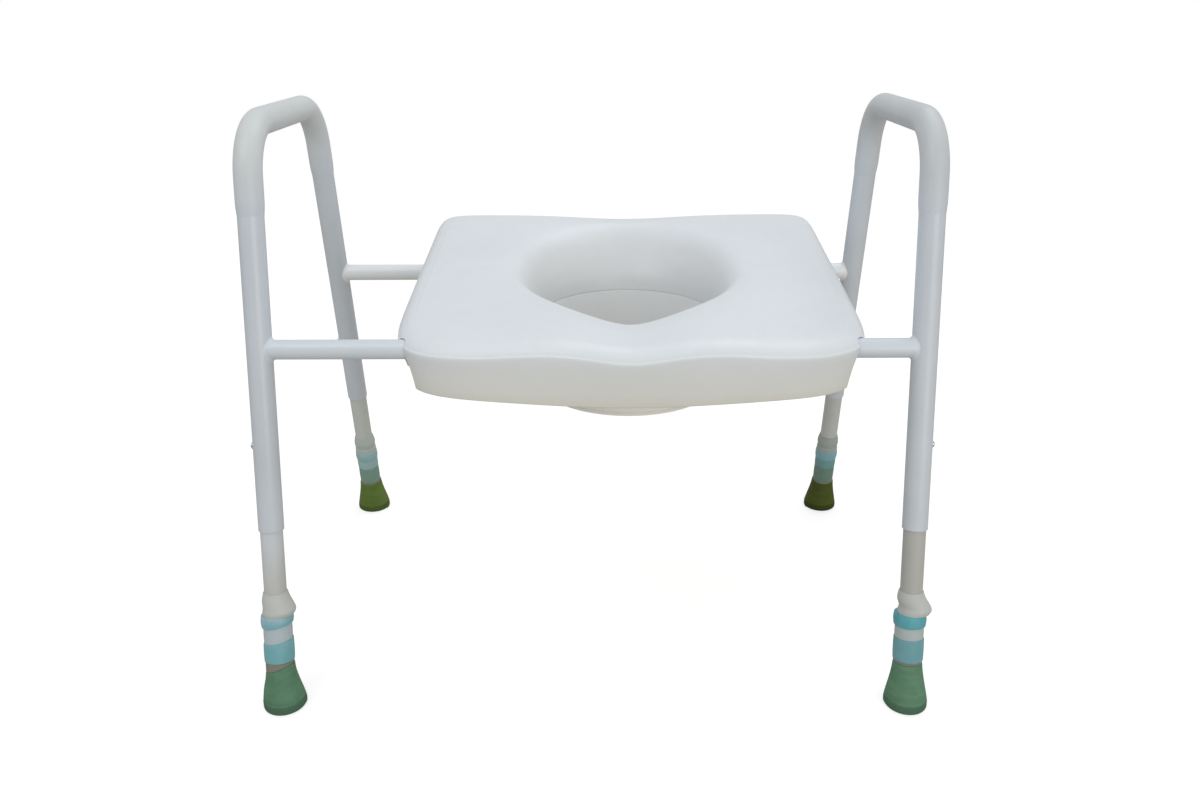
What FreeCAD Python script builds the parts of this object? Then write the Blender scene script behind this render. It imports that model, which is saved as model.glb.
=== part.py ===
"""Raised toilet seat on an adjustable arm frame, for use over a toilet.

Millimetres, +Z up. The origin is on the floor under the middle of the frame, +X runs along the cross
rails and the user sits facing -Y. Two bent tubes make the arms and the four raked legs, two cross rails
join them, and the moulded seat hangs on the rear rail and rests on the front one.
"""
import FreeCAD, Part
import math
import os
import Sketcher
from FreeCAD import Placement, Rotation, Vector

X_AXIS = Vector(1, 0, 0)
Y_AXIS = Vector(0, 1, 0)
Z_AXIS = Vector(0, 0, 1)

doc = FreeCAD.newDocument("raised_toilet_seat")
sheet = doc.addObject("Spreadsheet::Sheet", "sizes")

# ---------------------------------------------------------------- driving dimensions
DRIVING = {
    # frame
    "frame_width": 740,           # between the two leg planes, tube centre to tube centre
    "foot_half_depth": 256,       # leg centreline to the middle of the frame, at the floor
    "lean_angle": 10.7,           # rake of every leg, front and rear, in degrees
    "arm_height": 654,            # centreline of the arm above the floor
    "arm_bend_radius": 65,
    "rail_height": 417,           # centreline of both cross rails
    "frame_tube_diameter": 28.6,
    "rail_tube_diameter": 22.2,
    "tube_wall": 1.5,
    "tube_end_height": 215.8,     # along the leg, where the fixed tube stops
    "weld_size": 4,
    # arm grips
    "grip_wall": 1.2,
    "grip_drop": 95,              # along the leg, from the corner of the arm down to the grip's end
    # telescopic legs, heights measured along the leg from the floor
    "leg_tube_diameter": 25.4,
    "leg_tube_low": 10,
    "leg_tube_top": 340,
    "button_height": 315,
    "hole_pitch": 25,
    "hole_radius": 4.15,
    # foot
    "ferrule_base_radius": 25,
    "ferrule_base_top": 9,
    "ferrule_waist_radius": 20.8,
    "ferrule_waist_height": 26,
    "ferrule_neck_radius": 17,
    "ferrule_neck_height": 44,
    "ferrule_top": 53.5,
    "ferrule_lip": 1,
    "ring_top": 56.5,
    "ring_radius": 16.8,
    "washer_thick": 2,
    "lower_sleeve_top": 84,
    "spacer_top": 99,
    "upper_sleeve_top": 114,
    "collar_top": 140.6,
    "lower_sleeve_radius": 17.4,
    "spacer_radius": 16.4,
    "upper_sleeve_radius": 18.2,
    "collar_flare_radius": 19.4,
    "collar_flare_low": 117,
    "collar_flare_high": 120,
    "collar_shoulder_radius": 16,
    "collar_shoulder_height": 132.6,
    "collar_neck_radius": 14,
    # lock button
    "button_radius": 4,
    "button_reach": 16.6,         # tip from the leg's centreline
    "button_flange_radius": 5.4,
    "button_flange_face": 9.2,
    "button_flange_thick": 1.6,
    "button_dome": 1.4,           # the rounding of the tip, along and across
    "button_tip_flat": 0.3,
    "spring_width": 7,
    "spring_thick": 0.8,
    "spring_pad": 6,              # the short limb reaches this far up and down behind the button
    "spring_bend": 50,            # below the button, where the strip turns back
    "spring_top": 10,             # above the button, where the long limb ends
    # seat, heights measured from the rails' centreline
    "seat_offset": 44,            # the seat is parked to the right of the frame's middle
    "seat_half_width": 266,
    "seat_front_reach": 230,      # reaches are measured from the seat's own centre
    "seat_rear_reach": 217,
    "seat_centre": 5,
    "seat_skin": 3,
    "seat_front_height": 20,      # top of the seat over the front rail
    "seat_slope": 0.148,          # rise towards the rear
    "skirt_depth": 61,
    "skirt_middle_drop": 8,
    "front_bow": 12,              # the front edge is bowed in plan
    "thigh_rise": 4,              # soft rise each side of the front channel
    "channel_drop": 5,
    "rear_dip": 6,                # the rear edge is a little lower in the middle
    "chute_low": -15,
    "notch_clearance": 1.1,       # round the rails, where they pass through the skirt
    "notch_depth": 80,
    "notch_flare": 70,             # the front notches are this much wider at their foot
    "notch_inner": 225,           # from the seat's middle, where the notches start
    # splash guard
    "guard_wall": 3,
    "guard_gap": 0.05,            # between the foot of the chute and the ledge under it
    "guard_front_low": -106,
    "guard_rear_low": -118,
    "guard_collar": 16,           # height of the collar above the funnel
    "guard_collar_room": 10.5,    # from the chute's bore out to the collar's bore
    "guard_taper": 8,             # the funnel is this much narrower at its foot
    # seat fittings
    "fitting_spread": 150,        # each side of the seat's middle
    "running_clearance": 0.1,
    "liner_wall": 2.4,
    "liner_length": 42,
    "liner_flange": 2,
    "hook_wall": 5,
    "hook_mouth": 22,
    "hook_plate_height": 40,
    "hook_plate_length": 54,
    "hook_web_thick": 18,
    "hook_screw_spread": 20,      # each side of the rail, front to back
    "hook_screw_length": 14,
    "clip_width": 44,
    "clip_bore_radius": 12,
    "clip_top": 13.8,
    "clip_low": 12,
    "clip_front": 14.5,
    "clip_back": 16,
    "clip_plate_height": 4,
    "clip_plate_length": 23,
    "clip_screw_spread": 14,      # each side of the clip's middle, along the rail
    "clip_screw_length": 11,
    "mouth_depth": 30,            # deep enough to open the hooks and clips below
    "boss_reach": 60,             # tall enough to reach the skin before it is trimmed
    "plate_thick": 4,
    "screw_radius": 2,
    "screw_head_radius": 4,
    "screw_head_thick": 2.4,
}

# ---------------------------------------------------------------- sizes that follow from them
DERIVED = {
    "arm_half_depth": "=foot_half_depth - arm_height * tan(lean_angle * 1deg)",
    "rail_half_depth": "=foot_half_depth - rail_height * tan(lean_angle * 1deg)",
    "leg_length": "=arm_height / cos(lean_angle * 1deg)",
    "frame_leg_drop": "=leg_length - tube_end_height",
    "bend_setback": "=arm_bend_radius * tan((90 - lean_angle) * 0.5deg)",
    "frame_tube_radius": "=frame_tube_diameter / 2",
    "rail_tube_radius": "=rail_tube_diameter / 2",
    "leg_tube_radius": "=leg_tube_diameter / 2",
    "liner_inner_radius": "=rail_tube_radius + running_clearance",
    "liner_outer_radius": "=liner_inner_radius + liner_wall",
    "hook_bore_radius": "=liner_outer_radius + running_clearance",
    "hook_outer_radius": "=hook_bore_radius + hook_wall",
    "hook_width": "=liner_length - 2 * liner_flange - 4 * running_clearance",
}


def fill_sheet():
    rows = list(DRIVING.items()) + list(DERIVED.items())
    for row, (alias, value) in enumerate(rows, start=1):
        sheet.set(f"A{row}", alias)
        sheet.set(f"B{row}", str(value))
        sheet.setAlias(f"B{row}", alias)
    doc.recompute()


def size(alias):
    return float(sheet.get(alias))


fill_sheet()

LEAN = size("lean_angle")
RAIL_HEIGHT = size("rail_height")
LEGS = {
    "front_left": (-1, -1),
    "front_right": (1, -1),
    "rear_left": (-1, 1),
    "rear_right": (1, 1),
}
NODES = []


def keep(piece, label):
    """Name a finished piece and put it on the list of nodes."""
    piece.Label = label
    NODES.append(piece)
    return piece


# ---------------------------------------------------------------- sketch helpers
def origin_plane(body, role):
    return next(feature for feature in body.Origin.OriginFeatures if feature.Role == role)


def sketch_on(body, role, name):
    sketch = body.newObject("Sketcher::SketchObject", name)
    sketch.AttachmentSupport = [(origin_plane(body, role), "")]
    sketch.MapMode = "FlatFace"
    return sketch


def bind(sketch, constraint, expression):
    """Add a dimension to a sketch and tie it to the sheet."""
    index = sketch.addConstraint(constraint)
    sketch.setExpression(f"Constraints[{index}]", expression)


def place_point(sketch, geometry, point, across, up):
    """Fix a point of a sketch at two expressions measured from the sketch's origin."""
    if across == "0":
        sketch.addConstraint(Sketcher.Constraint("PointOnObject", geometry, point, -2))
    else:
        start = sketch.getPoint(geometry, point).x
        bind(sketch, Sketcher.Constraint("DistanceX", -1, 1, geometry, point, start), across)
    if up == "0":
        sketch.addConstraint(Sketcher.Constraint("PointOnObject", geometry, point, -1))
    else:
        start = sketch.getPoint(geometry, point).y
        bind(sketch, Sketcher.Constraint("DistanceY", -1, 1, geometry, point, start), up)


def add_circle(sketch, radius, across="0", up="0"):
    circle = sketch.addGeometry(Part.Circle(Vector(0, 0, 0), Z_AXIS, 1))
    bind(sketch, Sketcher.Constraint("Radius", circle, 1), radius)
    place_point(sketch, circle, 3, across, up)


def add_outline(sketch, corners):
    """Close a polygon through corners given as pairs of expressions."""
    count = len(corners)
    for index in range(count):
        start = Vector(math.cos(index), math.sin(index), 0)
        end = Vector(math.cos(index + 1), math.sin(index + 1), 0)
        sketch.addGeometry(Part.LineSegment(start, end))
    for index in range(count):
        sketch.addConstraint(Sketcher.Constraint("Coincident", index, 2, (index + 1) % count, 1))
    for index, (across, up) in enumerate(corners):
        place_point(sketch, index, 1, across, up)


def new_body(label, placement):
    body = doc.addObject("PartDesign::Body", label)
    body.Placement = placement
    return body


def turned(label, placement, profile):
    """A piece turned about its own Z: the profile's corners are (radius, height) expressions."""
    body = new_body(label, placement)
    sketch = sketch_on(body, "XZ_Plane", label + "_profile")
    add_outline(sketch, profile)
    turn = body.newObject("PartDesign::Revolution", label + "_turn")
    turn.Profile = sketch
    turn.ReferenceAxis = (sketch, ["V_Axis"])
    turn.Angle = 360
    return body


def turned_ring(label, placement, inner, outer, low, high):
    return turned(label, placement, [(inner, low), (outer, low), (outer, high), (inner, high)])


# ---------------------------------------------------------------- the arms and fixed legs: bent tube
def bent_tube(label, placement, inner, outer, drop):
    """Half of an inverted U, swept from the middle of the arm down one leg.

    Its own origin is the middle of the arm. The drop is the size that says how far down the leg the
    sweep goes, from the corner where the centrelines of arm and leg would meet.
    """
    body = new_body(label, placement)
    ring = sketch_on(body, "XZ_Plane", label + "_section")
    add_circle(ring, outer)
    add_circle(ring, inner)
    path = sketch_on(body, "YZ_Plane", label + "_path")
    arm_end = "sizes.arm_half_depth - sizes.bend_setback"
    lean = math.radians(LEAN)
    radius = size("arm_bend_radius")
    turn_at = Vector(size("arm_half_depth") - size("bend_setback"), 0, 0)
    centre = turn_at - Y_AXIS * radius
    bend_end = centre + Vector(math.cos(lean), math.sin(lean), 0) * radius
    corner = X_AXIS * size("arm_half_depth")
    leg_end = corner + Vector(math.sin(lean), -math.cos(lean), 0) * size(drop)
    arm = path.addGeometry(Part.LineSegment(Vector(0, 0, 0), turn_at))
    bend = path.addGeometry(Part.ArcOfCircle(Part.Circle(centre, Z_AXIS, radius), lean, math.pi / 2))
    leg = path.addGeometry(Part.LineSegment(bend_end, leg_end))
    path.addConstraint(Sketcher.Constraint("Coincident", arm, 1, -1, 1))
    place_point(path, arm, 2, arm_end, "0")
    path.addConstraint(Sketcher.Constraint("Coincident", bend, 2, arm, 2))
    place_point(path, bend, 3, arm_end, "-sizes.arm_bend_radius")
    path.addConstraint(Sketcher.Constraint("Tangent", bend, 1, leg, 1))
    place_point(
        path, leg, 2,
        f"sizes.arm_half_depth + sizes.{drop} * sin(sizes.lean_angle * 1deg)",
        f"-sizes.{drop} * cos(sizes.lean_angle * 1deg)",
    )
    pipe = body.newObject("PartDesign::AdditivePipe", label + "_sweep")
    pipe.Profile = ring
    pipe.Spine = (path, ["Edge1", "Edge2", "Edge3"])
    return body, pipe


def mirror_front_to_back(body, features, label):
    mirror = body.newObject("PartDesign::Mirrored", label + "_mirror")
    mirror.Originals = features
    mirror.MirrorPlane = (origin_plane(body, "XZ_Plane"), [""])
    body.Tip = mirror


def arm_placement(side):
    """The middle of an arm; the tube is turned so that its own +X faces outwards."""
    turn = Rotation(Z_AXIS, 0 if side > 0 else 180)
    return Placement(Vector(side * size("frame_width") / 2, 0, size("arm_height")), turn)


def side_frame(name, side):
    """Arm and two fixed legs, with a row of lock holes in the outer wall of each leg."""
    label = f"side_frame_{name}"
    inner = "sizes.frame_tube_radius - sizes.tube_wall"
    outer = "sizes.frame_tube_radius"
    body, pipe = bent_tube(label, arm_placement(side), inner, outer, "frame_leg_drop")
    doc.recompute()
    holes = sketch_on(body, "YZ_Plane", label + "_holes")
    for step in range(-3, 4):
        down = f"(sizes.leg_length - sizes.button_height - {step} * sizes.hole_pitch)"
        add_circle(
            holes, "sizes.hole_radius",
            f"sizes.arm_half_depth + {down} * sin(sizes.lean_angle * 1deg)",
            f"-{down} * cos(sizes.lean_angle * 1deg)",
        )
    pocket = body.newObject("PartDesign::Pocket", label + "_lock_holes")
    pocket.Profile = holes
    pocket.Length = size("frame_tube_diameter")
    pocket.Reversed = True
    mirror_front_to_back(body, [pipe, pocket], label)
    keep(body, label)


def arm_grip(name, side):
    label = f"arm_grip_{name}"
    outer = "sizes.frame_tube_radius + sizes.grip_wall"
    body, pipe = bent_tube(label, arm_placement(side), "sizes.frame_tube_radius", outer, "grip_drop")
    mirror_front_to_back(body, [pipe], label)
    keep(body, label)


# ---------------------------------------------------------------- cross rails, welded to the legs
def leg_placement(leg, height=0.0):
    """A frame on the leg's axis: Z up the leg, X outwards, at a height along the leg from the floor."""
    side, rear = LEGS[leg]
    foot = Vector(side * size("frame_width") / 2, rear * size("foot_half_depth"), 0)
    rake = Rotation(X_AXIS, rear * LEAN)
    face = Rotation(Z_AXIS, 0 if side > 0 else 180)
    return Placement(foot, rake * face) * Placement(Vector(0, 0, height), Rotation())


def rail(name, rear):
    """A straight tube, its ends cut to the round of the two legs that it meets and welded to them."""
    label = f"{name}_rail"
    at = Vector(0, rear * size("rail_half_depth"), RAIL_HEIGHT)
    tube = new_body(label + "_tube", Placement(at, Rotation()))
    ring = sketch_on(tube, "YZ_Plane", label + "_section")
    add_circle(ring, "sizes.rail_tube_radius")
    add_circle(ring, "sizes.rail_tube_radius - sizes.tube_wall")
    pad = tube.newObject("PartDesign::Pad", label + "_pad")
    pad.Profile = ring
    pad.Midplane = True
    pad.setExpression("Length", "sizes.frame_width")
    ends = [f"{name}_{side}" for side in ("left", "right")]
    legs = doc.addObject("Part::MultiFuse", label + "_legs")
    legs.Shapes = [leg_rod(leg) for leg in ends]
    cope = doc.addObject("Part::Cut", label + "_coped")
    cope.Base = tube
    cope.Tool = legs
    welds = doc.addObject("Part::Feature", label + "_welds")
    welds.Shape = Part.makeCompound([solid for leg in ends for solid in weld_bead(leg).Solids])
    welded = doc.addObject("Part::MultiFuse", label)
    welded.Shapes = [cope, welds]
    keep(welded, label)


def leg_rod(leg):
    rod = doc.addObject("Part::Cylinder", leg + "_rod")
    rod.setExpression("Radius", "sizes.frame_tube_radius")
    rod.setExpression("Height", "sizes.leg_length")
    rod.Placement = leg_placement(leg)
    return rod


def weld_bead(leg):
    """The fillet of weld round the joint of one rail and one leg, without either tube."""
    side, rear = LEGS[leg]
    along_leg = RAIL_HEIGHT / math.cos(math.radians(LEAN))
    leg_part = Part.makeCylinder(size("frame_tube_radius"), 160)
    leg_part.Placement = leg_placement(leg, along_leg - 80)
    joint = Vector(side * size("frame_width") / 2, rear * size("rail_half_depth"), RAIL_HEIGHT)
    rail_part = Part.makeCylinder(size("rail_tube_radius"), 80, joint, Vector(-side, 0, 0))
    joined = leg_part.fuse(rail_part)
    seam = [edge for edge in joined.Edges if is_cope(edge, joint)]
    return joined.makeFillet(size("weld_size"), seam).cut(joined)


def is_cope(edge, joint):
    """True for the saddle-shaped edge where the rail meets the leg."""
    reach = size("frame_tube_radius") + 1
    points = edge.discretize(9)
    near = all(abs(point.x - joint.x) < reach for point in points)
    return near and all(abs(point.z - joint.z) < reach for point in points)


# ---------------------------------------------------------------- telescopic legs
def leg_tube(leg):
    """The inner tube, with one hole in its outer wall for the lock button."""
    label = f"{leg}_leg_tube"
    tube = new_body(label, leg_placement(leg))
    ring = sketch_on(tube, "XY_Plane", label + "_section")
    add_circle(ring, "sizes.leg_tube_radius")
    add_circle(ring, "sizes.leg_tube_radius - sizes.tube_wall")
    ring.AttachmentOffset = Placement(Vector(0, 0, size("leg_tube_low")), Rotation())
    pad = tube.newObject("PartDesign::Pad", label + "_pad")
    pad.Profile = ring
    pad.setExpression("Length", "sizes.leg_tube_top - sizes.leg_tube_low")
    doc.recompute()
    hole = sketch_on(tube, "YZ_Plane", label + "_hole")
    add_circle(hole, "sizes.hole_radius", "0", "sizes.button_height")
    pocket = tube.newObject("PartDesign::Pocket", label + "_button_hole")
    pocket.Profile = hole
    pocket.Length = size("leg_tube_diameter")
    pocket.Reversed = True
    keep(tube, label)


def leg_rings(leg):
    """The collar and sleeves pushed on over the inner tube, from the top down."""
    at = leg_placement(leg)
    tube = "sizes.leg_tube_radius"
    collar = [
        (tube, "sizes.upper_sleeve_top"),
        ("sizes.upper_sleeve_radius", "sizes.upper_sleeve_top"),
        ("sizes.collar_flare_radius", "sizes.collar_flare_low"),
        ("sizes.collar_flare_radius", "sizes.collar_flare_high"),
        ("sizes.collar_shoulder_radius", "sizes.collar_shoulder_height"),
        ("sizes.collar_neck_radius", "sizes.collar_top"),
        (tube, "sizes.collar_top"),
    ]
    keep(turned(f"{leg}_collar", at, collar), f"{leg}_collar")
    sleeves = [
        ("upper_sleeve", "upper_sleeve_radius", "spacer_top", "upper_sleeve_top"),
        ("spacer_ring", "spacer_radius", "lower_sleeve_top", "spacer_top"),
        ("lower_sleeve", "lower_sleeve_radius", "ring_top", "lower_sleeve_top"),
        ("retaining_ring", "ring_radius", "ferrule_top", "ring_top"),
    ]
    for name, radius, low, high in sleeves:
        label = f"{leg}_{name}"
        keep(turned_ring(label, at, tube, f"sizes.{radius}", f"sizes.{low}", f"sizes.{high}"), label)


def foot(leg, ground):
    """Rubber ferrule, cut flat where it stands, with a steel washer under the tube's end."""
    at = leg_placement(leg)
    tube = "sizes.leg_tube_radius"
    washer_low = "sizes.leg_tube_low - sizes.washer_thick"
    below_ground = "-sizes.leg_tube_low"
    bell = [
        ("0", below_ground),
        ("sizes.ferrule_base_radius", below_ground),
        ("sizes.ferrule_base_radius", "sizes.ferrule_base_top"),
        ("sizes.ferrule_waist_radius", "sizes.ferrule_waist_height"),
        ("sizes.ferrule_neck_radius + sizes.ferrule_lip", "sizes.ferrule_neck_height"),
        ("sizes.ferrule_neck_radius", "sizes.ferrule_top - 2 * sizes.ferrule_lip"),
        ("sizes.ferrule_neck_radius - sizes.ferrule_lip", "sizes.ferrule_top"),
        (tube, "sizes.ferrule_top"),
        (tube, washer_low),
        ("0", washer_low),
    ]
    whole = turned(f"{leg}_ferrule_bell", at, bell)
    ferrule = doc.addObject("Part::Cut", f"{leg}_ferrule")
    ferrule.Base = whole
    ferrule.Tool = ground
    keep(ferrule, f"{leg}_ferrule")
    washer = turned_ring(
        f"{leg}_ferrule_washer", at, "sizes.leg_tube_radius / 3", tube, washer_low, "sizes.leg_tube_low"
    )
    keep(washer, f"{leg}_ferrule_washer")


def floor_block():
    """Everything under the floor, to cut the ferrules flat."""
    block = doc.addObject("Part::Box", "ground")
    block.setExpression("Length", "sizes.frame_width * 2")
    block.setExpression("Width", "sizes.frame_width * 2")
    block.Height = 60
    half = size("frame_width")
    block.Placement = Placement(Vector(-half, -half, -60), Rotation())
    return block


def lock_button(leg):
    """Domed button that springs out through both tubes, along the leg frame's own X."""
    label = f"{leg}_lock_button"
    outward = Placement(Vector(0, 0, 0), Rotation(Y_AXIS, 90))
    profile = [
        ("0", "sizes.button_flange_face - sizes.button_flange_thick"),
        ("sizes.button_flange_radius", "sizes.button_flange_face - sizes.button_flange_thick"),
        ("sizes.button_flange_radius", "sizes.button_flange_face"),
        ("sizes.button_radius", "sizes.button_flange_face"),
        ("sizes.button_radius", "sizes.button_reach - sizes.button_dome"),
        ("sizes.button_radius - sizes.button_dome", "sizes.button_reach - sizes.button_tip_flat"),
        ("0", "sizes.button_reach"),
    ]
    keep(turned(label, leg_placement(leg, size("button_height")) * outward, profile), label)


def leaf_spring(leg):
    """Folded strip behind the button; its long limb bears on the far wall of the tube."""
    label = f"{leg}_leaf_spring"
    body = new_body(label, leg_placement(leg, size("button_height")))
    sketch = sketch_on(body, "XZ_Plane", label + "_profile")
    button_back = "sizes.button_flange_face - sizes.button_flange_thick"
    far_wall = "-sqrt((sizes.leg_tube_radius - sizes.tube_wall)^2 - (sizes.spring_width / 2)^2)"
    thick = "sizes.spring_thick"
    strip = [
        (button_back, "sizes.spring_pad"),
        (button_back, f"-sizes.spring_pad - {thick} / 4"),
        (f"{far_wall} + 2.5 * {thick}", f"-sizes.spring_bend - 2.5 * {thick}"),
        (far_wall, "-sizes.spring_bend"),
        (far_wall, "sizes.spring_top"),
        (f"{far_wall} + {thick}", "sizes.spring_top"),
        (f"{far_wall} + {thick}", f"-sizes.spring_bend + 2 * {thick}"),
        (f"{far_wall} + 1.75 * {thick}", f"-sizes.spring_bend + 0.6 * {thick}"),
        (f"{button_back} - {thick}", "-sizes.spring_pad"),
        (f"{button_back} - {thick}", "sizes.spring_pad"),
    ]
    add_outline(sketch, strip)
    pad = body.newObject("PartDesign::Pad", label + "_pad")
    pad.Profile = sketch
    pad.Midplane = True
    pad.setExpression("Length", "sizes.spring_width")
    keep(body, label)


# ---------------------------------------------------------------- seat shell
# Rings of the seat's skin, from the foot of the chute, over the top and down the skirt:
# half width, reach to the front, reach to the rear, front and rear roundness (2 is an ellipse, more is
# squarer), share of the way up from the chute's foot to the seat's top, and drop below the top.
CHUTE_RINGS = [
    (112, 125, 125, 2.0, 2.0, 0.00, 0),
    (114, 128, 130, 2.0, 2.0, 0.25, 0),
    (119, 134, 142, 1.9, 2.0, 0.50, 0),
    (127, 140, 156, 1.8, 2.1, 0.72, 0),
    (138, 147, 169, 1.65, 2.2, 0.89, 0),
    (152, 157, 179, 1.6, 2.3, 1.00, 2),
    (172, 172, 186, 1.8, 2.7, 1.00, 0),
    (204, 185, 190, 2.8, 4.5, 1.00, 0),
]
# The rounded edge and the skirt follow the seat's outline: inset from it, and drop below the top.
EDGE_INSETS = [(24, 0), (16, 1.2), (9, 3.6), (4, 7), (1, 10.5), (0, 13.5)]
OUTLINE_POWERS = (8.0, 12.0)
SKIRT_INSET = 6
RING_POINTS = 64


def bell(distance, width):
    """A smooth bump, 1 at no distance and falling away over a width."""
    return math.exp(-((distance / width) ** 2))


def front_share(y):
    """0 behind the seat's middle, growing smoothly to 1 over the front rail."""
    share = min(max(-y / size("rail_half_depth"), 0.0), 1.0)
    return share * share * (3 - 2 * share)


def seat_plane(y):
    """The plane of the seat's top, rising to the rear, before its soft contours."""
    return size("seat_front_height") + size("seat_slope") * (y + size("rail_half_depth"))


def seat_top(x, y):
    """Height of the seat's top above the rails, x from the seat's middle and y from the frame's."""
    thighs = size("thigh_rise") * bell(abs(x) - 95, 55)
    channel = size("channel_drop") * bell(x, 42)
    dip = size("rear_dip") * bell(x, 95) * front_share(-y)
    return seat_plane(y) + (thighs - channel) * front_share(y) - dip


def ring_point(angle, half_width, front, rear, front_power, rear_power):
    """A point of a rounded outline about the seat's centre, by its direction from the centre."""
    across = math.cos(angle)
    along = math.sin(angle)
    reach, power = (rear, rear_power) if along > 0 else (front, front_power)
    radius = (abs(across / half_width) ** power + abs(along / reach) ** power) ** (-1 / power)
    return radius * across, size("seat_centre") + radius * along


def seat_ring(half_width, front, rear, front_power, rear_power, share, drop):
    points = []
    for step in range(RING_POINTS):
        angle = 2 * math.pi * step / RING_POINTS
        x, y = ring_point(angle, half_width, front, rear, front_power, rear_power)
        top = seat_top(x, y) - drop
        points.append(Vector(x, y, size("chute_low") + (top - size("chute_low")) * share))
    return points


def outline_ring(inset, drop):
    """A ring that follows the seat's outline, bowed towards the front in the middle."""
    half_width = size("seat_half_width") - inset
    front = size("seat_front_reach") - inset
    rear = size("seat_rear_reach") - inset
    points = seat_ring(half_width, front, rear, *OUTLINE_POWERS, 1.0, drop)
    for point in points:
        pull = max(-(point.y - size("seat_centre")) / front, 0.0)
        point.y += size("front_bow") * (point.x / half_width) ** 2 * pull
    return points


def skirt_ring():
    """The skirt's lower edge, parallel to the seat's plane and a little lower in the middle of the front."""
    points = outline_ring(SKIRT_INSET, 0)
    for point in points:
        middle = size("skirt_middle_drop") * bell(point.x, 150) * front_share(point.y)
        point.z = seat_plane(point.y) - size("skirt_depth") - middle
    return points


def inward_ring(rings, index, distance):
    """A ring moved into the seat's material, square to the skin."""
    ring = rings[index]
    before = rings[max(index - 1, 0)]
    after = rings[min(index + 1, len(rings) - 1)]
    count = len(ring)
    moved = []
    for step, point in enumerate(ring):
        outwards = after[step] - before[step]
        around = ring[(step + 1) % count] - ring[step - 1]
        normal = outwards.cross(around).normalize()
        moved.append(point - normal * distance)
    return moved


def closed_curve(points):
    curve = Part.BSplineCurve()
    curve.interpolate(points, PeriodicFlag=True)
    return curve.toShape()


def ruled_solid(rings):
    """A closed solid whose surface is ruled from each ring to the next and from the last to the first."""
    curves = [closed_curve(ring) for ring in rings]
    following = curves[1:] + curves[:1]
    shell = Part.Shell([Part.makeRuledSurface(one, other) for one, other in zip(curves, following)])
    shell.sewShape()
    return Part.Solid(shell)


def box(low, high):
    return Part.makeBox(high[0] - low[0], high[1] - low[1], high[2] - low[2], Vector(*low))


def boss(skin, column):
    """The part of a column that lies under the skin."""
    return min(column.cut(skin).Solids, key=lambda piece: piece.CenterOfMass.z)


def seat_placement():
    return Placement(Vector(size("seat_offset"), 0, RAIL_HEIGHT), Rotation())


def fitting_plates():
    """Plates of the fittings that are screwed up into the seat.

    Centre and length front to back, height of the underside, width, where the screws stand from the
    plate's centre (across, along), and how far the screws reach.
    """
    half_depth = size("rail_half_depth")
    clip_middle = -half_depth + size("clip_back") + size("clip_plate_length") / 2
    across = size("clip_screw_spread")
    along = size("hook_screw_spread")
    return {
        "clip": (
            clip_middle, size("clip_plate_length"), size("clip_plate_height"), size("clip_width"),
            [(-across, 0), (across, 0)], size("clip_screw_length"),
        ),
        "hook": (
            half_depth, size("hook_plate_length"), size("hook_plate_height"), size("hook_width"),
            [(0, -along), (0, along)], size("hook_screw_length"),
        ),
    }


def fitting_centres():
    return [-size("fitting_spread"), size("fitting_spread")]


def screw_places():
    """Underside of the plate at every screw, in the seat's own frame, with the screw's length."""
    places = []
    for middle, _, height, _, spots, length in fitting_plates().values():
        for centre in fitting_centres():
            for across, along in spots:
                places.append((Vector(centre + across, middle + along, height), length))
    return places


def rail_notches():
    """Room in the skirt's two sides for the rails, the front ones open below so the seat can lift off."""
    radius = size("rail_tube_radius") + size("notch_clearance")
    depth = size("notch_depth")
    reach = size("seat_half_width") - size("notch_inner") + 2 * radius
    tools = []
    for side in (-1, 1):
        start = side * size("notch_inner")
        for rear in (-1, 1):
            middle = rear * size("rail_half_depth")
            tools.append(Part.makeCylinder(radius, reach, Vector(start, middle, 0), Vector(side, 0, 0)))
        front = -size("rail_half_depth")
        corners = [
            Vector(start, front - radius, 0),
            Vector(start, front + radius, 0),
            Vector(start, front + radius + size("notch_flare"), -depth),
            Vector(start, front - radius, -depth),
        ]
        face = Part.Face(Part.makePolygon(corners + corners[:1]))
        tools.append(face.extrude(Vector(side * reach, 0, 0)))
    return tools


def seat_shell():
    """One moulded skin with the chute, and a boss under it wherever a fitting is screwed on."""
    rings = [seat_ring(*ring) for ring in CHUTE_RINGS]
    rings += [outline_ring(inset, drop) for inset, drop in EDGE_INSETS]
    rings.append(skirt_ring())
    under = [inward_ring(rings, index, size("seat_skin")) for index in range(len(rings))]
    skin = ruled_solid(rings + under[::-1])
    pilots = [Part.makeCylinder(size("screw_radius"), length, place) for place, length in screw_places()]
    bosses = []
    for middle, length, height, width, _, _ in fitting_plates().values():
        low = height + size("plate_thick")
        for centre in fitting_centres():
            column = box(
                (centre - width / 2, middle - length / 2, low),
                (centre + width / 2, middle + length / 2, low + size("boss_reach")),
            )
            bosses.append(boss(skin, column).cut(pilots))
    shell = doc.addObject("Part::Feature", "seat_shell")
    shell.Shape = skin.fuse(bosses).cut(rail_notches())
    shell.Placement = seat_placement()
    keep(shell, "seat_shell")


# ---------------------------------------------------------------- splash guard
def oval(half_width, reach, low_front, low_rear):
    """A flat oval about the chute's centre, its plane sloping from front to rear."""
    points = []
    for step in range(RING_POINTS):
        x, y = ring_point(2 * math.pi * step / RING_POINTS, half_width, reach, reach, 2, 2)
        share = (y - size("seat_centre")) / (2 * reach) + 0.5
        points.append(Vector(x, y, low_front + (low_rear - low_front) * share))
    return points


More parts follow.
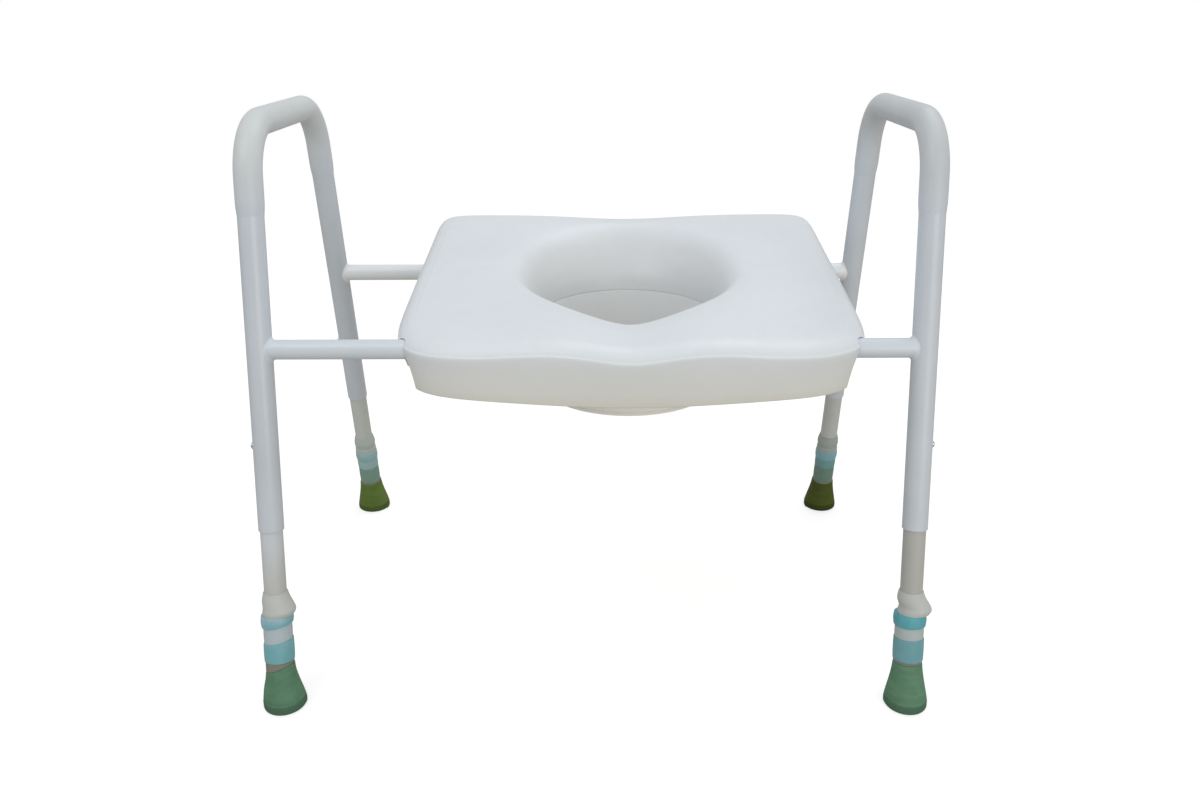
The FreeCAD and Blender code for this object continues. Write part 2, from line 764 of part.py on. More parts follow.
def splash_guard():
    """Tapered oval funnel under the chute, with a collar that grips round the chute's foot."""
    wall = size("guard_wall")
    joint = size("chute_low") - size("guard_gap")
    collar_top = joint + size("guard_collar")
    collar = size("guard_collar_room")
    taper = size("guard_taper")
    front_low = size("guard_front_low")
    rear_low = size("guard_rear_low")
    bore = CHUTE_RINGS[0]
    rings = [
        oval(bore[0] + collar, bore[1] + collar, collar_top, collar_top),
        oval(bore[0] + collar + wall, bore[1] + collar + wall, collar_top, collar_top),
        oval(bore[0] + collar + wall, bore[1] + collar + wall, joint - wall, joint - wall),
        oval(bore[0] - taper + wall, bore[1] - taper + wall, front_low, rear_low),
        oval(bore[0] - taper, bore[1] - taper, front_low, rear_low),
        oval(bore[0], bore[1], joint, joint),
        oval(bore[0] + collar, bore[1] + collar, joint, joint),
    ]
    guard = doc.addObject("Part::Feature", "splash_guard")
    guard.Shape = ruled_solid(rings[::-1])
    guard.Placement = seat_placement()
    keep(guard, "splash_guard")


# ---------------------------------------------------------------- seat fittings
def side_name(centre):
    return "left" if centre < 0 else "right"


def on_rail(rear, centre):
    """A frame on a rail's axis under one pair of fittings, its axes along the object's."""
    at = Vector(size("seat_offset") + centre, rear * size("rail_half_depth"), RAIL_HEIGHT)
    return Placement(at, Rotation())


ALONG_RAIL = Rotation(Y_AXIS, 90)


def rail_liner(centre):
    """Nylon bush that runs on the rear rail; its flanges keep a hook of the seat between them."""
    label = f"rail_liner_{side_name(centre)}"
    half = "sizes.liner_length / 2"
    bore = "sizes.liner_inner_radius"
    body = "sizes.liner_outer_radius"
    rim = "sizes.hook_outer_radius"
    inside = "(sizes.liner_length / 2 - sizes.liner_flange)"
    profile = [
        (bore, f"-{half}"), (rim, f"-{half}"), (rim, f"-{inside}"), (body, f"-{inside}"),
        (body, inside), (rim, inside), (rim, half), (bore, half),
    ]
    at = on_rail(1, centre) * Placement(Vector(0, 0, 0), ALONG_RAIL)
    keep(turned(label, at, profile), label)


def block(name, width, low, high):
    """A box centred across its own X, from (y, z) low to (y, z) high, given as expressions."""
    solid = doc.addObject("Part::Box", name)
    solid.setExpression("Length", width)
    solid.setExpression("Width", f"({high[0]}) - ({low[0]})")
    solid.setExpression("Height", f"({high[1]}) - ({low[1]})")
    solid.setExpression("Placement.Base.x", f"-({width}) / 2")
    solid.setExpression("Placement.Base.y", low[0])
    solid.setExpression("Placement.Base.z", low[1])
    return solid


def rod(name, width, radius, drop="0"):
    """A cylinder along X, centred across it, its axis a little under the rail's."""
    solid = doc.addObject("Part::Cylinder", name)
    solid.setExpression("Radius", radius)
    solid.setExpression("Height", width)
    solid.Placement = Placement(Vector(0, 0, 0), ALONG_RAIL)
    solid.setExpression("Placement.Base.x", f"-({width}) / 2")
    solid.setExpression("Placement.Base.z", f"-({drop})")
    return solid


def screw_hole(name, across, along, height):
    hole = doc.addObject("Part::Cylinder", name)
    hole.setExpression("Radius", "sizes.screw_radius")
    hole.setExpression("Height", "sizes.plate_thick * 3")
    hole.Placement = Placement(Vector(across, along, height - size("plate_thick")), Rotation())
    return hole


def fitting(label, solids, cuts, placement):
    """Fuse the solids, cut the rest away and put the piece in its place."""
    whole = doc.addObject("Part::MultiFuse", label + "_block")
    whole.Shapes = solids
    tools = doc.addObject("Part::MultiFuse", label + "_tools")
    tools.Shapes = cuts
    cut = doc.addObject("Part::Cut", label)
    cut.Base = whole
    cut.Tool = tools
    cut.Placement = placement
    keep(cut, label)


def rear_hook(centre):
    """C-shaped hook round a liner, open below, with a web up to its screwed plate."""
    label = f"rear_hook_{side_name(centre)}"
    width = "sizes.hook_width"
    half_plate = "sizes.hook_plate_length / 2"
    half_web = "sizes.hook_web_thick / 2"
    plate_top = "sizes.hook_plate_height + sizes.plate_thick"
    middle, _, height, _, spots, _ = fitting_plates()["hook"]
    offset = middle - size("rail_half_depth")
    solids = [
        rod(label + "_ring", width, "sizes.hook_outer_radius"),
        block(label + "_web", width, (f"-{half_web}", "0"), (half_web, "sizes.hook_plate_height + 1")),
        block(label + "_plate", width, (f"-{half_plate}", "sizes.hook_plate_height"), (half_plate, plate_top)),
    ]
    half_mouth = "sizes.hook_mouth / 2"
    cuts = [
        rod(label + "_bore", "sizes.hook_width + 2", "sizes.hook_bore_radius"),
        block(label + "_mouth", "sizes.hook_width + 2", (f"-{half_mouth}", "-sizes.mouth_depth"), (half_mouth, "0")),
    ]
    for index, (across, along) in enumerate(spots):
        cuts.append(screw_hole(f"{label}_hole_{index}", across, offset + along, height))
    fitting(label, solids, cuts, on_rail(1, centre))


def front_clip(centre):
    """Saddle that drops over the front rail, open below, with a plate behind it."""
    label = f"front_clip_{side_name(centre)}"
    width = "sizes.clip_width"
    drop = "sizes.clip_bore_radius - sizes.rail_tube_radius - 0.05"
    middle, _, height, _, spots, _ = fitting_plates()["clip"]
    offset = middle + size("rail_half_depth")
    plate_end = "sizes.clip_back + sizes.clip_plate_length"
    plate_top = "sizes.clip_plate_height + sizes.plate_thick"
    solids = [
        block(label + "_saddle", width, ("-sizes.clip_front", "-sizes.clip_low"), ("sizes.clip_back", "sizes.clip_top")),
        block(label + "_plate", width, ("sizes.clip_back - 1", "sizes.clip_plate_height"), (plate_end, plate_top)),
    ]
    wide = "sizes.clip_width + 2"
    bore = "sizes.clip_bore_radius"
    cuts = [
        rod(label + "_bore", wide, bore, drop),
        block(label + "_mouth", wide, (f"-{bore}", "-sizes.mouth_depth"), (bore, f"-({drop})")),
    ]
    for index, (across, along) in enumerate(spots):
        cuts.append(screw_hole(f"{label}_hole_{index}", across, offset + along, height))
    fitting(label, solids, cuts, on_rail(-1, centre))


def fitting_screws():
    """Self-tapping screws up through the plates, heads below."""
    screws = []
    for index, (place, length) in enumerate(screw_places()):
        profile = [
            ("0", "-sizes.screw_head_thick"),
            ("sizes.screw_head_radius - 1", "-sizes.screw_head_thick"),
            ("sizes.screw_head_radius", "-1"),
            ("sizes.screw_head_radius", "0"),
            ("sizes.screw_radius", "0"),
            ("sizes.screw_radius", str(length - 2)),
            ("0", str(length)),
        ]
        at = seat_placement() * Placement(place, Rotation())
        screws.append(turned(f"fitting_screw_{index}", at, profile))
    group = doc.addObject("Part::Compound", "fitting_screws")
    group.Links = screws
    keep(group, "fitting_screws")


# ---------------------------------------------------------------- build
def build():
    for name, side in (("left", -1), ("right", 1)):
        side_frame(name, side)
        arm_grip(name, side)
    rail("front", -1)
    rail("rear", 1)
    ground = floor_block()
    for leg in LEGS:
        leg_tube(leg)
        leg_rings(leg)
        foot(leg, ground)
        lock_button(leg)
        leaf_spring(leg)
    seat_shell()
    splash_guard()
    for centre in fitting_centres():
        rail_liner(centre)
        rear_hook(centre)
        front_clip(centre)
    fitting_screws()
    doc.recompute()


def check():
    """Stop if any object failed or any node's shape is empty or not sound."""
    for item in doc.Objects:
        if "Invalid" in item.State or "Error" in item.State:
            raise RuntimeError(f"{item.Label} failed: {item.State}")
    for node in NODES:
        if node.Shape.isNull() or not node.Shape.isValid() or not node.Shape.Solids:
            raise RuntimeError(f"{node.Label} has no sound shape")


def export():
    os.makedirs("parts", exist_ok=True)
    for node in NODES:
        node.Shape.exportStep(f"parts/{node.Label}.step")
    print(len(NODES), "nodes written")


build()
check()
export()
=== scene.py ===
"""Looks for the raised toilet seat on its arm frame. Metres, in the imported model's own frame:
+Z up, the floor at 0, the rails along X and the user facing -Y."""
import math

import bmesh
import bpy
import numpy as np
from mathutils import Matrix, Vector

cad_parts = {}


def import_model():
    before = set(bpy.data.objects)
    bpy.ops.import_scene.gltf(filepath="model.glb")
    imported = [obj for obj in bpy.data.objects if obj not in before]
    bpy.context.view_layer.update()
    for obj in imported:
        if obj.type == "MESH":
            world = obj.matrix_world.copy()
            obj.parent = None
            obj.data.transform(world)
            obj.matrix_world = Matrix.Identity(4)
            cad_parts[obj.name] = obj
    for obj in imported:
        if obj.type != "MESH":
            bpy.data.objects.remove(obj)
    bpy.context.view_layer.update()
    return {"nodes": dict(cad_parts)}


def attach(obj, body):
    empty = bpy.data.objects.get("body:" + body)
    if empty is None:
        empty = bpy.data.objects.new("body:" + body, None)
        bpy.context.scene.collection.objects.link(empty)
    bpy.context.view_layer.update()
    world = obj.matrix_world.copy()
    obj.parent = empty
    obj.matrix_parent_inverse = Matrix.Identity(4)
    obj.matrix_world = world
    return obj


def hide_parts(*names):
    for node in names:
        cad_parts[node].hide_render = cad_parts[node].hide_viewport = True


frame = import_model()

MM = 0.001
LEGS = {"front_left": (-1, -1), "front_right": (1, -1), "rear_left": (-1, 1), "rear_right": (1, 1)}
HALF_WIDTH = 370 * MM              # leg planes from the middle
FOOT_HALF_DEPTH = 256 * MM
LEAN = math.radians(10.7)
ARM_HEIGHT = 654 * MM
RAIL_HEIGHT = 417 * MM
RAIL_HALF_DEPTH = FOOT_HALF_DEPTH - RAIL_HEIGHT * math.tan(LEAN)
ARM_HALF_DEPTH = FOOT_HALF_DEPTH - ARM_HEIGHT * math.tan(LEAN)
LEG_LENGTH = ARM_HEIGHT / math.cos(LEAN)
SEAT_ORIGIN = Vector((44 * MM, 0, RAIL_HEIGHT))
SEAT_SLOPE = 0.148                  # rise towards the rear, for each unit back


# ------------------------------------------------------------------ small maths
def bell(distance, width):
    return np.exp(-((distance / width) ** 2))


def smoothstep(value):
    value = np.clip(value, 0, 1)
    return value * value * (3 - 2 * value)


def leg_matrix(leg):
    """A frame on the leg's axis: Z up the leg from the floor, X outwards."""
    side, rear = LEGS[leg]
    turn = Matrix.Rotation(rear * LEAN, 4, "X") @ Matrix.Rotation(0 if side > 0 else math.pi, 4, "Z")
    return Matrix.Translation((side * HALF_WIDTH, rear * FOOT_HALF_DEPTH, 0)) @ turn


def through(rows, steps):
    """Rows of numbers with a smooth curve through them, steps rows for every gap."""
    rows = np.array(rows, float)
    padded = np.vstack([2 * rows[0] - rows[1], rows, 2 * rows[-1] - rows[-2]])
    out = []
    for index in range(len(rows) - 1):
        a, b, c, d = padded[index:index + 4]
        for step in range(steps):
            t = step / steps
            out.append(
                0.5 * ((2 * b) + (c - a) * t + (2 * a - 5 * b + 4 * c - d) * t**2 + (3 * b - a - 3 * c + d) * t**3)
            )
    out.append(rows[-1])
    return np.array(out)


def rounded(corners, radii, steps=5):
    """A closed outline with its corners rounded; a radius of 0 keeps the corner."""
    points = [Vector(c) for c in corners]
    out = []
    for index, corner in enumerate(points):
        radius = radii[index] if isinstance(radii, (list, tuple)) else radii
        before, after = points[index - 1], points[(index + 1) % len(points)]
        to_before, to_after = before - corner, after - corner
        cut = min(radius, to_before.length * 0.49, to_after.length * 0.49)
        if cut <= 0:
            out.append(tuple(corner))
            continue
        start, end = corner + to_before.normalized() * cut, corner + to_after.normalized() * cut
        for step in range(steps + 1):
            t = step / steps
            out.append(tuple(start * (1 - t) ** 2 + corner * 2 * t * (1 - t) + end * t**2))
    return out


# ------------------------------------------------------------------ mesh making
def mesh_object(name, points, faces, sharp=None):
    mesh = bpy.data.meshes.new(name)
    mesh.from_pydata([tuple(p) for p in points], [], faces)
    shaped = bmesh.new()
    shaped.from_mesh(mesh)
    bmesh.ops.remove_doubles(shaped, verts=shaped.verts, dist=1e-6)
    bmesh.ops.recalc_face_normals(shaped, faces=shaped.faces)
    shaped.to_mesh(mesh)
    shaped.free()
    mesh.polygons.foreach_set("use_smooth", [True] * len(mesh.polygons))
    if sharp:
        mesh.set_sharp_from_angle(angle=math.radians(sharp))
    made = bpy.data.objects.new(name, mesh)
    bpy.context.scene.collection.objects.link(made)
    return made


def dress(made, body, slot, material, *nodes):
    made.data.materials.clear()
    made.data.materials.append(material)
    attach(made, body)
    if nodes:
        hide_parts(*nodes)
    return made


def ring_faces(rings, around, closed):
    """Quads between rings of points, and from the last ring to the first if closed."""
    faces = []
    for index in range(rings if closed else rings - 1):
        low, high = index * around, (index + 1) % rings * around
        for step in range(around):
            after = (step + 1) % around
            faces.append((low + step, low + after, high + after, high + step))
    return faces


def lathe(name, outline, place, around=96, warp=None, sharp=50):
    """Revolves a closed outline of (radius, height) round the Z of a placement."""
    points, faces = [], []
    count = len(outline)
    for step in range(around):
        turn = 2 * math.pi * step / around
        for radius, height in outline:
            point = Vector((radius * math.cos(turn), radius * math.sin(turn), height))
            points.append(place @ (warp(point) if warp else point))
    for step in range(around):
        here, there = step * count, (step + 1) % around * count
        for index in range(count):
            after = (index + 1) % count
            quad = (here + index, here + after, there + after, there + index)
            if outline[index][0] > 1e-9 or outline[after][0] > 1e-9:
                faces.append(quad)
    return mesh_object(name, points, faces, sharp)


def tube_rings(path, radii, around):
    """Rings of points square to a path, each turned as little as possible from the one before."""
    path = [Vector(p) for p in path]
    tangents = []
    for index in range(len(path)):
        before, after = path[max(index - 1, 0)], path[min(index + 1, len(path) - 1)]
        tangents.append((after - before).normalized())
    side = tangents[0].orthogonal().normalized()
    points = []
    for index, centre in enumerate(path):
        side = (side - tangents[index] * side.dot(tangents[index])).normalized()
        other = tangents[index].cross(side)
        for step in range(around):
            turn = 2 * math.pi * step / around
            points.append(centre + (side * math.cos(turn) + other * math.sin(turn)) * radii[index])
    return points


# ------------------------------------------------------------------ materials
def linear(red, green, blue):
    """A display colour, 0 to 255, as linear numbers with alpha."""
    parts = [value / 255 for value in (red, green, blue)]
    return tuple(p / 12.92 if p <= 0.04045 else ((p + 0.055) / 1.055) ** 2.4 for p in parts) + (1.0,)


class Nodes:
    """A short way to write a node tree: every method adds a node and returns its output."""

    def __init__(self, name):
        self.material = bpy.data.materials.new(name)
        self.material.use_nodes = True
        self.tree = self.material.node_tree
        self.shader = self.tree.nodes["Principled BSDF"]
        self.place = self.add("ShaderNodeTexCoord").outputs["Object"]

    def add(self, kind, inputs=None, **settings):
        node = self.tree.nodes.new(kind)
        for key, value in settings.items():
            setattr(node, key, value)
        for key, value in (inputs or {}).items():
            self.feed(node.inputs[key], value)
        return node

    def feed(self, socket, value):
        if isinstance(value, bpy.types.NodeSocket):
            self.tree.links.new(value, socket)
        else:
            socket.default_value = value

    def set(self, **inputs):
        for key, value in inputs.items():
            self.feed(self.shader.inputs[key.replace("_", " ")], value)

    def noise(self, scale, detail=4.0, rough=0.5, at=None):
        inputs = {"Vector": at or self.place, "Scale": scale, "Detail": detail, "Roughness": rough}
        return self.add("ShaderNodeTexNoise", inputs).outputs["Fac"]

    def stretch(self, x, y, z):
        return self.add("ShaderNodeMapping", {"Vector": self.place, "Scale": (x, y, z)}).outputs["Vector"]

    def ramp(self, value, stops):
        node = self.add("ShaderNodeValToRGB", {"Fac": value})
        elements = node.color_ramp.elements
        for index, (position, colour) in enumerate(stops):
            element = elements[index] if index < 2 else elements.new(position)
            element.position = position
            element.color = colour
        return node.outputs["Color"]

    def span(self, value, low, high, to_low=0.0, to_high=1.0):
        inputs = {"Value": value, "From Min": low, "From Max": high, "To Min": to_low, "To Max": to_high}
        return self.add("ShaderNodeMapRange", inputs).outputs["Result"]

    def math(self, operation, *values):
        node = self.add("ShaderNodeMath", operation=operation)
        for index, value in enumerate(values):
            self.feed(node.inputs[index], value)
        return node.outputs["Value"]

    def mix(self, share, one, other, kind="MIX"):
        node = self.add("ShaderNodeMix", data_type="RGBA", blend_type=kind)
        for socket, value in zip((node.inputs[0], node.inputs[6], node.inputs[7]), (share, one, other)):
            self.feed(socket, value)
        return node.outputs[2]

    def bumps(self, *layers):
        """Layers of (height, distance in metres), one on top of the other."""
        normal = None
        for height, distance in layers:
            inputs = {"Height": height, "Distance": distance, "Strength": 1.0}
            if normal:
                inputs["Normal"] = normal
            normal = self.add("ShaderNodeBump", inputs).outputs["Normal"]
        self.set(Normal=normal)


def shade(colour, factor):
    return tuple(min(part * factor, 1.0) for part in colour[:3]) + (1.0,)


def by_height(n, base, heights, upper):
    """Goes over to another colour between two heights above the floor."""
    height = n.add("ShaderNodeSeparateXYZ", {"Vector": n.place}).outputs["Z"]
    edge = n.math("ADD", height, n.span(n.noise(40, 2, 0.5), 0.3, 0.7, -0.004, 0.004))
    return n.mix(n.span(edge, *heights), base, upper)


def powder_coat(name, colour, dull=0.0, along=(1, 1, 0.12), upper=None):
    """Stoved paint on tube: orange peel, soft gloss, faint streaks along the tube and rubbed-in grime.
    A worn tube goes over to the colour it has kept above, given as (heights, colour)."""
    n = Nodes(name)
    cloud = n.noise(9, 3, 0.55)
    streak = n.noise(24, 5, 0.6, n.stretch(*along))
    fleck = n.noise(420, 2, 0.5)
    base = n.mix(n.span(cloud, 0.3, 0.7), shade(colour, 0.955), shade(colour, 1.03))
    if upper:
        base = by_height(n, base, *upper)
    base = n.mix(n.span(streak, 0.52, 0.78, 0, 0.22), base, shade(colour, 0.80))
    base = n.mix(n.span(fleck, 0.66, 0.74, 0, 0.20), base, shade(colour, 0.72))
    n.set(Base_Color=base, Roughness=n.span(cloud, 0.3, 0.7, 0.30 + dull, 0.42 + dull), Coat_Weight=0.25, Coat_Roughness=0.18)
    n.bumps((n.noise(260, 2, 0.5), 0.00008), (n.noise(1500, 2, 0.6), 0.00001))
    return n.material


def seat_painted_bounce_and_shade(n, base):
    """Painted light: a warm painted bounce towards the foot of the skirt and painted shade down the chute, by the depth
    under the seat's plane.
    """
    parts = n.add("ShaderNodeSeparateXYZ", {"Vector": n.place}).outputs
    level = n.math("SUBTRACT", parts["Z"], n.math("MULTIPLY", parts["Y"], SEAT_SLOPE))
    across, along = n.math("SUBTRACT", parts["X"], SEAT_ORIGIN.x), n.math("SUBTRACT", parts["Y"], 0.005)
    radius = n.math("SQRT", n.math("ADD", n.math("POWER", across, 2.0), n.math("POWER", along, 2.0)))
    painted_bounce = n.math("MULTIPLY", n.span(level, 0.452, 0.398), n.span(radius, 0.185, 0.205))
    painted_chute_shade = n.math("MULTIPLY", n.span(level, 0.460, 0.440), n.span(radius, 0.190, 0.150))
    painted_chute_shade = n.math("MULTIPLY", painted_chute_shade, n.span(level, 0.400, 0.432, 0.75, 1.0))
    base = n.mix(painted_bounce, base, n.mix(1.0, base, (1.01, 0.955, 0.855, 1), "MULTIPLY"))
    return n.mix(painted_chute_shade, base, n.mix(1.0, base, (0.935, 0.90, 0.875, 1), "MULTIPLY"))


def guard_painted_light(n, base):
    """Painted light: the guard's foot made paler than the rest."""
    height = n.add("ShaderNodeSeparateXYZ", {"Vector": n.place}).outputs["Z"]
    return n.mix(n.span(height, 0.345, 0.332), base, n.mix(1.0, base, (1.30, 1.25, 1.16, 1), "MULTIPLY"))


def moulded(name, colour, rough, glow=0.06, grain=0.00003, tint=None):
    """Moulded plastic: fine spark-eroded grain, slow colour drift, a little light under the skin."""
    n = Nodes(name)
    cloud = n.noise(5, 4, 0.55)
    mottle = n.noise(60, 3, 0.6)
    base = n.mix(n.span(cloud, 0.3, 0.7), shade(colour, 0.965), shade(colour, 1.02))
    base = n.mix(n.span(mottle, 0.45, 0.8, 0, 0.12), base, shade(colour, 0.86))
    if tint:
        base = tint(n, base)
    n.set(Base_Color=base, Roughness=n.span(mottle, 0.3, 0.7, rough - 0.04, rough + 0.06))
    n.set(Subsurface_Weight=glow, Subsurface_Radius=(0.004, 0.0035, 0.003), Specular_IOR_Level=0.42)
    n.bumps((n.noise(11, 2, 0.5), 0.0003), (n.noise(1400, 3, 0.65), grain))
    return n.material


def rubber(name, colour, low, streaks):
    """Ferrule rubber: chalky bloom, flow streaks round it, and a foot darker towards the floor."""
    n = Nodes(name)
    height = n.add("ShaderNodeSeparateXYZ", {"Vector": n.place}).outputs["Z"]
    cloud = n.noise(38, 5, 0.6)
    flow = n.noise(60, 4, 0.6, n.stretch(0.35, 0.35, 3.2))
    grit = n.noise(700, 3, 0.7)
    base = n.mix(n.span(cloud, 0.3, 0.72), shade(colour, 0.82), shade(colour, 1.16))
    base = n.mix(n.span(flow, 0.45, 0.75, 0, 0.55), base, streaks)
    edge = n.math("ADD", height, n.span(n.noise(120, 3, 0.5), 0, 1, -0.0015, 0.0015))
    base = n.mix(n.span(edge, 0.0125, 0.0095, 0, 0.85), base, low)
    base = n.mix(n.span(grit, 0.6, 0.75, 0, 0.25), base, shade(colour, 0.6))
    n.set(Base_Color=base, Roughness=n.span(cloud, 0.3, 0.7, 0.68, 0.84), Specular_IOR_Level=0.3)
    n.bumps((flow, 0.0003), (grit, 0.00012))
    return n.material


FRAME_PAINT = linear(200, 208, 217)
BLEACHED = (0.44, 0.53, 0.58, 1.0)


def sleeve(name, colour, pale, fade=None, rough=0.46):
    """Soft blue plastic sleeve, cloudy where it has faded, with faint turned rings; fade is the span of
    heights over which it bleaches towards its top."""
    n = Nodes(name)
    cloud = n.noise(70, 4, 0.6)
    rings = n.noise(500, 2, 0.5, n.stretch(0.04, 0.04, 1))
    base = n.mix(n.span(cloud, 0.42, 0.78), colour, pale)
    if fade:
        height = n.add("ShaderNodeSeparateXYZ", {"Vector": n.place}).outputs["Z"]
        edge = n.math("ADD", height, n.span(cloud, 0.3, 0.7, -0.003, 0.003))
        base = n.mix(n.span(edge, *fade, 0, 0.85), base, BLEACHED)
    base = n.mix(n.span(rings, 0.5, 0.75, 0, 0.18), base, shade(colour, 0.8))
    n.set(Base_Color=base, Roughness=n.span(cloud, 0.3, 0.7, rough - 0.05, rough + 0.08))
    n.set(Subsurface_Weight=0.08, Subsurface_Radius=(0.002, 0.003, 0.003))
    n.bumps((rings, 0.00008), (n.noise(1300, 2, 0.6), 0.00002))
    return n.material


def metal(name, colour, rough, brushed=(1, 1, 0.05)):
    """Plated steel with fine drawing lines and a dull film."""
    n = Nodes(name)
    lines = n.noise(900, 3, 0.6, n.stretch(*brushed))
    film = n.noise(55, 4, 0.6)
    n.set(Base_Color=n.mix(n.span(film, 0.4, 0.75, 0, 0.4), colour, shade(colour, 0.6)), Metallic=1.0)
    n.set(Roughness=n.span(film, 0.3, 0.7, rough, rough + 0.18))
    n.bumps((lines, 0.00002))
    return n.material


def vinyl(name, colour):
    """Dipped vinyl on the arms: satin, slightly pebbled, marked on top and blending into the paint below."""
    n = Nodes(name)
    cloud = n.noise(13, 4, 0.55)
    marks = n.noise(34, 5, 0.65, n.stretch(1, 0.3, 1))
    base = n.mix(n.span(cloud, 0.3, 0.7), shade(colour, 0.965), shade(colour, 1.03))
    base = by_height(n, shade(FRAME_PAINT, 1.0), (0.56, 0.635), base)
    base = n.mix(n.span(marks, 0.56, 0.8, 0, 0.16), base, shade(colour, 0.82))
    n.set(Base_Color=base, Roughness=n.span(marks, 0.3, 0.7, 0.36, 0.5), Specular_IOR_Level=0.45)
    n.set(Subsurface_Weight=0.05, Subsurface_Radius=(0.003, 0.003, 0.003))
    n.bumps((n.noise(180, 2, 0.5), 0.00010), (n.noise(1100, 2, 0.6), 0.00002))
    return n.material


M = {
    "frame": powder_coat("frame_paint", FRAME_PAINT),
    # The rails' copies of the frame paint are set lighter than the frame's, the rear rail's most: painted light.
    "rail": powder_coat("frame_paint_rail", linear(208, 217, 226), 0.0, (0.12, 1, 1)),
    "rear_rail": powder_coat("frame_paint_rear_rail", linear(236, 241, 246), 0.0, (0.12, 1, 1)),
    # Each leg and arm has its own copy of a finish, set lighter or darker one by one: partly painted light and shade
    # for how much light reaches it, partly real differences in hue.
    "leg_front_left": powder_coat("leg_paint_front_left", linear(192, 194, 192), 0.08, upper=((0.148, 0.192), linear(205, 211, 217))),
    "leg_front_right": powder_coat("leg_paint_front_right", linear(180, 181, 178), 0.08),
    "leg_rear_left": powder_coat("leg_paint_rear_left", linear(198, 203, 200), 0.08),
    "leg_rear_right": powder_coat("leg_paint_rear_right", linear(193, 197, 195), 0.08),
    "grip_left": vinyl("grip_vinyl_left", linear(207, 212, 214)),
    "grip_right": vinyl("grip_vinyl_right", linear(194, 199, 203)),
    "collar_front_left": moulded("collar_plastic_front_left", linear(194, 198, 196), 0.5),
    "collar_front_right": moulded("collar_plastic_front_right", linear(189, 193, 190), 0.5),
    "collar_rear_left": moulded("collar_plastic_rear_left", linear(180, 192, 189), 0.5),
    "collar_rear_right": moulded("collar_plastic_rear_right", linear(164, 174, 172), 0.5),
    "upper_front_left": sleeve("blue_sleeve_front_left", linear(122, 181, 192), linear(150, 192, 202), (0.105, 0.118)),
    "upper_front_right": sleeve("blue_sleeve_front_right", linear(86, 167, 178), linear(102, 172, 184)),
    "upper_rear_left": sleeve("blue_sleeve_rear_left", linear(146, 186, 190), linear(156, 192, 196)),
    "upper_rear_right": sleeve("blue_sleeve_rear_right", linear(126, 176, 186), linear(136, 182, 194)),
    "spacer_front_left": moulded("white_ring_front_left", linear(183, 197, 205), 0.5, 0.1),
    "spacer_front_right": moulded("white_ring_front_right", linear(177, 190, 192), 0.5, 0.1),
    "spacer_rear_left": moulded("white_ring_rear_left", linear(154, 188, 190), 0.5, 0.1),
    "spacer_rear_right": moulded("white_ring_rear_right", linear(112, 158, 160), 0.5, 0.1),
    "lower_front_left": sleeve("blue_sleeve_low_front_left", linear(114, 175, 184), linear(132, 182, 190)),
    "lower_front_right": sleeve("blue_sleeve_low_front_right", linear(105, 161, 170), linear(122, 170, 178)),
    "lower_rear_left": sleeve("blue_sleeve_low_rear_left", linear(118, 154, 140), linear(128, 160, 148)),
    "lower_rear_right": sleeve("blue_sleeve_low_rear_right", linear(106, 135, 122), linear(116, 142, 130)),
    "ring": moulded("brown_ring", linear(131, 131, 121), 0.7),
    "rubber_front": rubber("green_rubber_front", linear(90, 131, 104), linear(70, 103, 82), linear(110, 145, 119)),
    "rubber_rear_left": rubber("green_rubber_rear_left", linear(93, 117, 52), linear(72, 92, 34), linear(110, 132, 66)),
    "rubber_rear_right": rubber("green_rubber_rear_right", linear(72, 84, 28), linear(52, 62, 16), linear(86, 98, 42)),
    "zinc": metal("zinc_steel", linear(200, 202, 205), 0.32),
    "spring": metal("spring_steel", linear(120, 124, 132), 0.3),
    "button": metal("button_steel", linear(205, 206, 208), 0.2, (1, 1, 1)),
    "nylon": moulded("nylon", linear(232, 228, 214), 0.38, 0.12),
    # The seat carries painted light: a warm painted bounce on the skirt's foot and painted shade down the chute.
    "seat": moulded("seat_plastic", linear(221, 227, 232), 0.36, 0.06, 0.00004, seat_painted_bounce_and_shade),
    # The guard's paler foot is painted light.
    "guard": moulded("guard_plastic", linear(227, 230, 232), 0.42, 0.1, tint=guard_painted_light),
    "fitting": moulded("fitting_plastic", linear(212, 213, 211), 0.42, 0.05),
}


# ------------------------------------------------------------------ seat
# Rows of the seat's skin from the foot of the chute, over the top and down the skirt: half width, reach to
# the front and to the rear, roundness at the front and rear, share of the way up, drop, bow and skirt.
CHUTE = [
    (112, 125, 125, 2.0, 2.0, 0.00, 0), (114, 128, 130, 2.0, 2.0, 0.25, 0), (119, 134, 142, 1.9, 2.0, 0.50, 0),
    (127, 140, 156, 1.8, 2.1, 0.72, 0), (138, 147, 169, 1.65, 2.2, 0.89, 0), (152, 157, 179, 1.6, 2.3, 1.00, 2),
    (172, 172, 186, 1.8, 2.7, 1.00, 0), (204, 185, 190, 2.8, 4.5, 1.00, 0),
]
EDGE = [(24, 0), (17, 0.6), (10.6, 2.1), (5.2, 5.2), (1.5, 9.8), (0, 15.5)]
SEAT_HALF_WIDTH, SEAT_FRONT, SEAT_REAR, SEAT_CENTRE = 266, 230, 217, 5
SEAT_SKIN = 3
SKIRT_INSET, SKIRT_DEPTH = 6, 61
CHUTE_LOW = -15
OUTLINE_POWERS = (8.0, 20.0)
AROUND = 384
ROW_STEPS = 5


def front_share(y):
    return smoothstep(-y / (RAIL_HALF_DEPTH / MM))


def seat_plane(y):
    return 20 + SEAT_SLOPE * (y + RAIL_HALF_DEPTH / MM)


def seat_top(x, y):
    """Height of the seat's top above the rails, all in millimetres, x from the seat's middle."""
    rise = (4 * bell(np.abs(x) - 95, 55) - 5 * bell(x, 42)) * front_share(y)
    return seat_plane(y) + rise - 6 * bell(x, 95) * front_share(-y)


